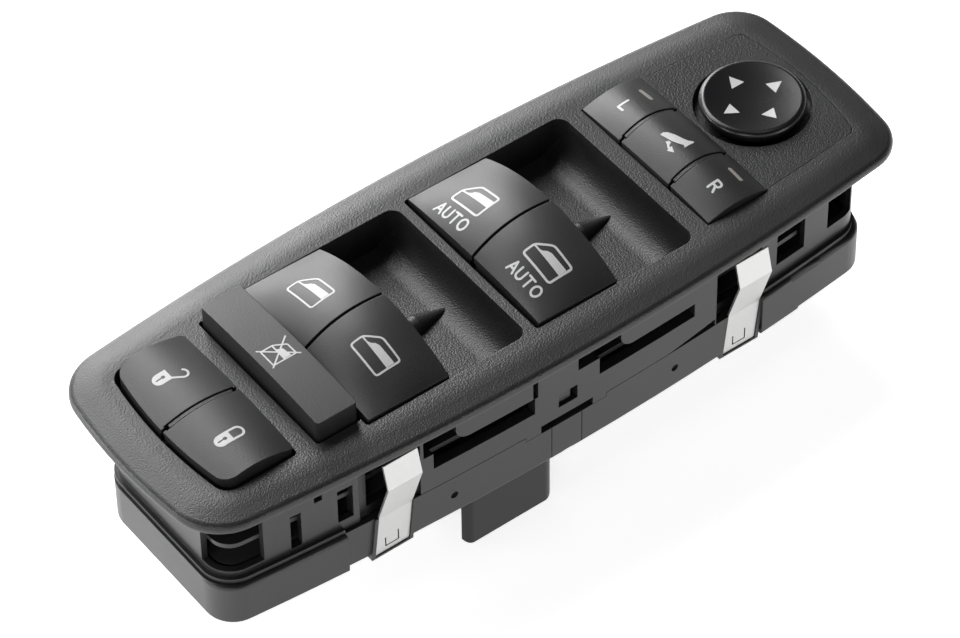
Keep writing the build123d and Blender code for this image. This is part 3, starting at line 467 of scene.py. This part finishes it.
def padlockShapes(shackle, line):
    # straight sides with a half round foot, a keyhole cut out of them and the shackle on top
    half, top = padlock["half"], padlock["top"]
    foot = arc((0, padlock["bottom"] + half), half, 180, 360)
    return [
        ("fill", np.vstack([[(half, top), (-half, top)], foot])), ("stroke", shackle, line),
        ("cut", padlock["hole"], padlock["holeWidth"]), ("cut", padlock["slit"], padlock["slitWidth"]),
    ]


bow = padlock["half"] - padlock["line"] / 2
bowCentre = (0, padlock["reach"] - padlock["half"])
lockedShackle = np.vstack([[(bow, padlock["top"])], arc(bowCentre, bow, 0, 180), [(-bow, padlock["top"])]])
openBow = arc(padlock["openCentre"], padlock["openRadius"], *padlock["openTurn"])
openShackle = np.vstack([padlock["openStem"], openBow])
signSurface(
    "lock_key.sign", padlock["locked"], padlockShapes(lockedShackle, padlock["line"]),
    "lock_key", "lock_key",
)
signSurface(
    "unlock_key.sign", padlock["open"], padlockShapes(openShackle, padlock["openLine"]),
    "unlock_key", "unlock_key",
)
print("padlock signs laid")

# the crossed out window on the lockout bar
barSign = {
    "x": -66.0, "y": -0.35, "line": 0.42, "corner": 0.4,
    "outline": [(-2.8, -3.5), (-2.85, 0.2), (-1.0, 3.45), (2.8, 3.5), (2.85, -3.5)],
    "belt": [(-2.8, 0.0), (2.8, 0.0)], "pane": [(-1.2, 0.1), (-0.5, 1.7), (2.5, 2.1), (2.5, 0.1)],
    "cross": [[(-3.6, -4.2), (3.4, 4.4)], [(-3.5, 4.6), (3.4, -4.0)]],
}
barLines = [closed(rounded(barSign["outline"], barSign["corner"])), barSign["belt"], *barSign["cross"]]
barShapes = [("stroke", line, barSign["line"]) for line in barLines] + [("fill", barSign["pane"])]
signSurface("lockout_bar.sign", barSign, barShapes, "lockout_bar", "lockout_bar")

mirrorLetters = {
    "height": 3.4, "line": 0.68,
    "L": {"node": "mirror_left_key", "x": 59.2, "y": 17.9},
    "R": {"node": "mirror_right_key", "x": 59.2, "y": -19.4},
}
for letter in "LR":
    key = mirrorLetters[letter]["node"]
    shapes = wordShapes(letter, mirrorLetters)
    signSurface(key + ".sign", mirrorLetters[letter], shapes, key, key)

# the folding mirror: its glass and shell, its foot, and the arrow that it folds along
foldSign = {
    "x": 60.3, "y": 0.0, "line": 0.6,
    "glass": [
        (-3.1, -1.5), (-3.2, -0.4), (-2.4, 0.5), (-0.5, 1.5), (1.6, 2.2), (3.0, 2.9), (4.0, 4.1),
        (4.4, 3.6), (4.6, 0.4), (3.7, 0.9), (3.2, 0.5), (2.7, 0.2), (0.6, -0.7),
    ],
    "foot": [(-0.4, -1.9), (0.9, -1.0), (1.5, -2.6)],
    "arrow": [(0.3, -1.4), (0.9, -2.1), (1.7, -2.6), (2.9, -2.9)],
    "arrowHead": [(2.0, -1.7), (2.2, -3.6), (4.0, -2.6)],
}
foldShapes = [("fill", foldSign[part]) for part in ("glass", "foot", "arrowHead")]
foldShapes.append(("stroke", foldSign["arrow"], foldSign["line"]))
signSurface(
    "mirror_fold_key.sign", foldSign, foldShapes, "mirror_fold_key", "mirror_fold_key",
)

padAxis = {"x": 88.0, "y": 0.6}
padArrow = {"tip": 9.9, "foot": 6.1, "half": 2.1}


def padArrows():
    # one triangle that points away from the pad's middle, turned by each quarter
    tip, foot, half = padArrow["tip"], padArrow["foot"], padArrow["half"]
    triangle = np.array([(0, tip), (-half, foot), (half, foot)])
    quarters = [radians(90 * quarter) for quarter in range(4)]
    spins = [np.array([[cos(turn), -sin(turn)], [sin(turn), cos(turn)]]) for turn in quarters]
    return [("fill", triangle @ spin.T) for spin in spins]


signSurface("mirror_pad.sign", padAxis, padArrows(), "mirror_pad", "mirror_pad")
print("bar, mirror and pad signs laid")


# cup floor and bar spring

cupFloor = {"inner": 8.6, "outer": 15.75, "low": 0.1, "high": 1.3, "corner": 0.2, "steps": 96}


def cupFloorRing():
    # floor of the cup round the mirror pad: a rectangle with rounded corners, its radius and level
    # the profile, carried round the pad's upright axis
    inner, outer, low, high = (cupFloor[size] for size in ("inner", "outer", "low", "high"))
    profile = rounded([(inner, low), (outer, low), (outer, high), (inner, high)], cupFloor["corner"])
    turn = np.linspace(0, 2 * np.pi, cupFloor["steps"], endpoint=False)[:, None]
    radius, level = profile[None, :, 0], profile[None, :, 1]
    verts = np.stack([
        padAxis["x"] + radius * np.cos(turn), padAxis["y"] + radius * np.sin(turn),
        level + np.zeros_like(turn),
    ], 2) * mm
    number = np.arange(len(turn) * len(profile)).reshape(len(turn), len(profile))
    ahead = np.roll(number, -1, 0)
    quads = np.stack([number, ahead, np.roll(ahead, -1, 1), np.roll(number, -1, 1)], 2).reshape(-1, 4)
    piece = newPiece("mirror_plate.cup_floor", verts, quads.tolist(), finishes["platePlastic"])
    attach(piece, "housing")


cupFloorRing()
print("cup floor made")

# travel is how far the bar presses it, and foot is the level that it stands on
barSpring = {"coil": 3.2, "wire": 0.7, "turns": 5, "sides": 12, "steps": 240, "travel": 2.5, "foot": -11.0}


def springCoil():
    # round wire along a helix: circles across the helix, spanned by the outward direction and by
    # the one square to it and to the wire, one ring for each step, closed by a cap at each end
    low, high = (np.array(corner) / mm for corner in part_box("lockout_spring"))
    middle, half = (low + high) / 2, barSpring["wire"] / 2
    height = high[2] - low[2] - barSpring["wire"]
    share = np.linspace(0, 1, barSpring["steps"])[:, None]
    turn = 2 * np.pi * barSpring["turns"] * share
    outward = np.hstack([np.cos(turn), np.sin(turn), np.zeros_like(turn)])
    centre = outward * barSpring["coil"] + np.array([middle[0], middle[1], low[2] + half])
    centre[:, 2:] += height * share
    rise = height / (2 * np.pi * barSpring["turns"] * barSpring["coil"])
    along = np.hstack([-np.sin(turn), np.cos(turn), rise + np.zeros_like(turn)])
    across = np.cross(outward, along / np.linalg.norm(along, axis=1)[:, None])
    ring = np.linspace(0, 2 * np.pi, barSpring["sides"], endpoint=False)[None, :, None]
    circles = half * (np.cos(ring) * outward[:, None] - np.sin(ring) * across[:, None])
    verts = (centre[:, None] + circles) * mm
    number = np.arange(verts.shape[0] * verts.shape[1]).reshape(verts.shape[:2])
    here, ahead = number[:-1], number[1:]
    quads = np.stack([here, np.roll(here, -1, 1), np.roll(ahead, -1, 1), ahead], 2).reshape(-1, 4)
    caps = [number[0, ::-1].tolist(), number[-1].tolist()]
    piece = newPiece("lockout_spring.wire", verts, quads.tolist() + caps, finishes["wireSteel"])
    piece.data.polygons.foreach_set("use_smooth", [True] * len(quads) + [False] * len(caps))
    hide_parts("lockout_spring")
    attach(piece, "housing")
    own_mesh(piece)


springCoil()
print("bar spring wound")


# floor, light and camera

# Lamps stand at a bearing from +X and a height above the floor, both in degrees, round the panel.
# wallTop is the rise of direction over which the white walls end, and sideTurn the sideways one
# over which they dim to darkSide.
studio = {
    "floor": {"reach": 6.0, "below": 0.05 * mm, "colour": 0.9, "rough": 0.9, "glow": 0.8},
    "wallTop": (0.3, 0.5), "sideTurn": (-0.1, 0.7), "darkSide": 0.3,
    "distance": 1.3, "lampHeight": 0.42,
    "lamps": {
        "backLowRight": {"bearing": 73, "height": 5, "width": 0.7, "power": 4.8},
        "backLowLeft": {"bearing": 140, "height": 5, "width": 0.42, "power": 6.4},
        "leftLow": {"bearing": 180, "height": 15, "width": 0.42, "power": 2.6},
        "leftFront": {"bearing": 220, "height": 27, "width": 0.42, "power": 1.8},
        "frontLow": {"bearing": 290, "height": 5, "width": 0.42, "power": 2.2},
        "backMain": {"bearing": 72, "height": 27, "width": 0.42, "power": 6.6},
        "backHigh": {"bearing": 78, "height": 41, "width": 0.5, "power": 4.0},
        "backHighLeft": {"bearing": 110, "height": 41, "width": 0.7, "power": 5.6},
        "topBack": {"bearing": 80, "height": 56, "width": 0.42, "power": 4.3},
        "topLeft": {"bearing": 122, "height": 56, "width": 0.42, "power": 2.0},
        "overhead": {"bearing": 345, "height": 75, "width": 0.42, "power": 0.8},
    },
}
camera = {
    "at": (-0.51754, -0.69284, 0.91482), "turn": (42.754, 0.594, -37.246), "lens": 183.9,
    "sensor": 36.0, "near": 0.05, "far": 30.0,
}


def combine(tree, operation, *values):
    # a Math node fed by sockets or plain numbers
    node = tree.nodes.new("ShaderNodeMath")
    node.operation = operation
    for socket, value in zip(node.inputs, values):
        if isinstance(value, (int, float)):
            socket.default_value = value
        else:
            tree.links.new(value, socket)
    return node.outputs["Value"]


def raySorts(tree):
    # 1 for rays from the camera, and 1 for rays that a surface mirrors or lets through
    path = tree.nodes.new("ShaderNodeLightPath")
    mirrored, through = path.outputs["Is Glossy Ray"], path.outputs["Is Transmission Ray"]
    return path.outputs["Is Camera Ray"], combine(tree, "MAXIMUM", mirrored, through)


def floorMaterial():
    # matt white that the camera sees as white but for a soft shadow
    look = studio["floor"]
    material, tree, shader = newMaterial("floorWhite")
    shader.inputs["Base Color"].default_value = (look["colour"],) * 3 + (1,)
    shader.inputs["Roughness"].default_value = look["rough"]
    shader.inputs["Specular IOR Level"].default_value = 0.0
    shader.inputs["Emission Color"].default_value = (1, 1, 1, 1)
    toCamera, mirrored = raySorts(tree)
    glow = combine(tree, "MULTIPLY_ADD", toCamera, look["glow"], mirrored)
    tree.links.new(glow, shader.inputs["Emission Strength"])
    return material


def paleFloor():
    # wide white sheet just under the lowest point
    reach, level = studio["floor"]["reach"], cadBox[0][2] - studio["floor"]["below"]
    corners = np.array([(x * reach, y * reach, level) for x, y in ((-1, -1), (1, -1), (1, 1), (-1, 1))])
    floor = newPiece("floor", corners, [(0, 1, 2, 3)], floorMaterial())


def studioWorld():
    # white to the camera; mirrored rays see white walls, dimmer at the right, below a dark ceiling
    world = bpy.data.worlds.new("studio")
    bpy.context.scene.world = world
    world.use_nodes = True
    tree = world.node_tree
    background = tree.nodes["Background"]
    background.inputs["Color"].default_value = (1, 1, 1, 1)
    direction = tree.nodes.new("ShaderNodeSeparateXYZ")
    tree.links.new(tree.nodes.new("ShaderNodeTexCoord").outputs["Generated"], direction.inputs["Vector"])
    walls = mapTo(tree, direction.outputs["Z"], 1.0, 0.0, *studio["wallTop"])
    side = mapTo(tree, direction.outputs["X"], 1.0, studio["darkSide"], *studio["sideTurn"])
    walls = combine(tree, "MULTIPLY", walls, side)
    toCamera, mirrored = raySorts(tree)
    strength = combine(tree, "MULTIPLY_ADD", walls, mirrored, toCamera)
    tree.links.new(strength, background.inputs["Strength"])


def softbox(name, lamp):
    light = bpy.data.lights.new(name, "AREA")
    light.shape = "RECTANGLE"
    light.size, light.size_y = lamp["width"], studio["lampHeight"]
    light.energy = lamp["power"]
    holder = bpy.data.objects.new(name, light)
    bpy.context.collection.objects.link(holder)
    bearing, height = radians(lamp["bearing"]), radians(lamp["height"])
    away = Vector((cos(height) * cos(bearing), cos(height) * sin(bearing), sin(height)))
    holder.location = away * studio["distance"]
    holder.rotation_euler = away.to_track_quat("Z", "Y").to_euler()


def placeCamera():
    lens = bpy.data.cameras.new("camera")
    lens.lens, lens.sensor_width = camera["lens"], camera["sensor"]
    lens.clip_start, lens.clip_end = camera["near"], camera["far"]
    holder = bpy.data.objects.new("camera", lens)
    bpy.context.collection.objects.link(holder)
    holder.location = camera["at"]
    holder.rotation_euler = [radians(angle) for angle in camera["turn"]]
    bpy.context.scene.camera = holder


paleFloor()
studioWorld()
for lampName, lamp in studio["lamps"].items():
    softbox(lampName, lamp)
placeCamera()
bpy.context.scene.view_settings.view_transform = "Standard"
print("stage, lamps and camera set")
